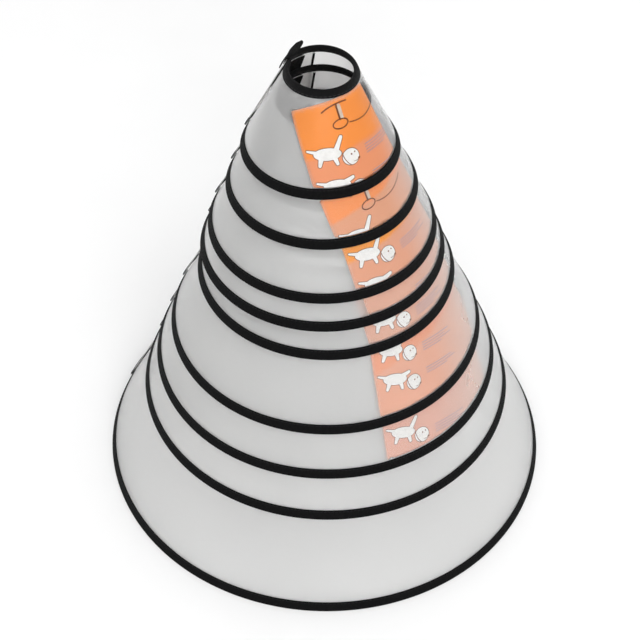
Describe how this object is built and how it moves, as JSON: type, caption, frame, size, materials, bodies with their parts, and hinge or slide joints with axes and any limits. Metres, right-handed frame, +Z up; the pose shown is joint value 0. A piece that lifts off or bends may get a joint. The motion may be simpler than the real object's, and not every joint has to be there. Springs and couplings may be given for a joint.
{
  "type": "nested set of elizabethan collars",
  "caption": "Tower of nested translucent cone collars for pets, with bound black rims, padded necks, a lap that opens as a flap, a pull tab and printed cards.",
  "frame": {"origin": "bottom centre of the whole stack, on the surface the largest rim stands on", "axes": "+Z up along the cones, -Y towards the front with the cards, the lap at the left (-X) side"},
  "size_m": [0.4555, 0.457, 0.5188],
  "materials": {
    "frosted_sheet": "frosted translucent",
    "rim_tape": "woven bias tape",
    "neck_padding": "soft knitted tape",
    "edge_piping": "black bias tape on the tongue, clear plastic edging on the flap",
    "touch_tape": "hook and loop pile",
    "tab_webbing": "woven webbing",
    "printed_card": "printed card behind the sheet"
  },
  "bodies": {
    "collar_9": {"collar_9_sheet": "frosted_sheet", "collar_9_rim_binding": "rim_tape", "collar_9_neck_binding": "neck_padding", "collar_9_edge_bindings": "edge_piping", "collar_9_touch_tapes": "touch_tape"},
    "collar_8": {"collar_8_sheet": "frosted_sheet", "collar_8_rim_binding": "rim_tape", "collar_8_neck_binding": "neck_padding", "collar_8_edge_bindings": "edge_piping", "collar_8_touch_tapes": "touch_tape"},
    "collar_7": {"collar_7_sheet": "frosted_sheet", "collar_7_rim_binding": "rim_tape", "collar_7_neck_binding": "neck_padding", "collar_7_edge_bindings": "edge_piping", "collar_7_touch_tapes": "touch_tape", "collar_7_instruction_card": "printed_card"},
    "collar_6": {"collar_6_sheet": "frosted_sheet", "collar_6_rim_binding": "rim_tape", "collar_6_neck_binding": "neck_padding", "collar_6_edge_bindings": "edge_piping", "collar_6_touch_tapes": "touch_tape", "collar_6_instruction_card": "printed_card"},
    "collar_5": {"collar_5_sheet": "frosted_sheet", "collar_5_rim_binding": "rim_tape", "collar_5_neck_binding": "neck_padding", "collar_5_edge_bindings": "edge_piping", "collar_5_touch_tapes": "touch_tape", "collar_5_instruction_card": "printed_card"},
    "collar_4": {"collar_4_sheet": "frosted_sheet", "collar_4_rim_binding": "rim_tape", "collar_4_neck_binding": "neck_padding", "collar_4_edge_bindings": "edge_piping", "collar_4_touch_tapes": "touch_tape", "collar_4_instruction_card": "printed_card"},
    "collar_3": {"collar_3_sheet": "frosted_sheet", "collar_3_rim_binding": "rim_tape", "collar_3_neck_binding": "neck_padding", "collar_3_edge_bindings": "edge_piping", "collar_3_touch_tapes": "touch_tape", "collar_3_instruction_card": "printed_card"},
    "collar_2": {"collar_2_sheet": "frosted_sheet", "collar_2_rim_binding": "rim_tape", "collar_2_neck_binding": "neck_padding", "collar_2_edge_bindings": "edge_piping", "collar_2_touch_tapes": "touch_tape", "collar_2_instruction_card": "printed_card"},
    "collar_1": {"collar_1_sheet": "frosted_sheet", "collar_1_rim_binding": "rim_tape", "collar_1_neck_binding": "neck_padding", "collar_1_tongue_edge_binding": "edge_piping", "collar_1_loop_tape": "touch_tape", "collar_1_instruction_card": "printed_card"},
    "closing_flap": {"collar_1_flap_sheet": "frosted_sheet", "collar_1_flap_rim_binding": "rim_tape", "collar_1_flap_neck_binding": "neck_padding", "collar_1_flap_edge_binding": "edge_piping", "collar_1_hook_tape": "touch_tape"},
    "pull_tab": {"collar_1_pull_tab": "tab_webbing"}
  },
  "joints": [
    {"name": "collar_8_lift", "type": "slide", "parent": "collar_9", "child": "collar_8", "axis": [0, 0, 1], "range_m": [0, 0.18]},
    {"name": "collar_7_lift", "type": "slide", "parent": "collar_8", "child": "collar_7", "axis": [0, 0, 1], "range_m": [0, 0.165]},
    {"name": "collar_6_lift", "type": "slide", "parent": "collar_7", "child": "collar_6", "axis": [0, 0, 1], "range_m": [0, 0.155]},
    {"name": "collar_5_lift", "type": "slide", "parent": "collar_6", "child": "collar_5", "axis": [0, 0, 1], "range_m": [0, 0.105]},
    {"name": "collar_4_lift", "type": "slide", "parent": "collar_5", "child": "collar_4", "axis": [0, 0, 1], "range_m": [0, 0.1]},
    {"name": "collar_3_lift", "type": "slide", "parent": "collar_4", "child": "collar_3", "axis": [0, 0, 1], "range_m": [0, 0.095]},
    {"name": "collar_2_lift", "type": "slide", "parent": "collar_3", "child": "collar_2", "axis": [0, 0, 1], "range_m": [0, 0.07]},
    {"name": "collar_1_lift", "type": "slide", "parent": "collar_2", "child": "collar_1", "axis": [0, 0, 1], "range_m": [0, 0.07]},
    {"name": "closing_flap_hinge", "type": "hinge", "parent": "collar_1", "child": "closing_flap", "pos_m": [0.05894, -0.02566, 0.40906], "axis": [0.4045, -0.1472, -0.9026], "range_deg": [0, 60]},
    {"name": "pull_tab_fold", "type": "hinge", "parent": "closing_flap", "child": "pull_tab", "pos_m": [-0.03778, 0.01411, 0.4979], "axis": [0.2623, -0.8674, -0.4228], "range_deg": [-15, 80]}
  ]
}
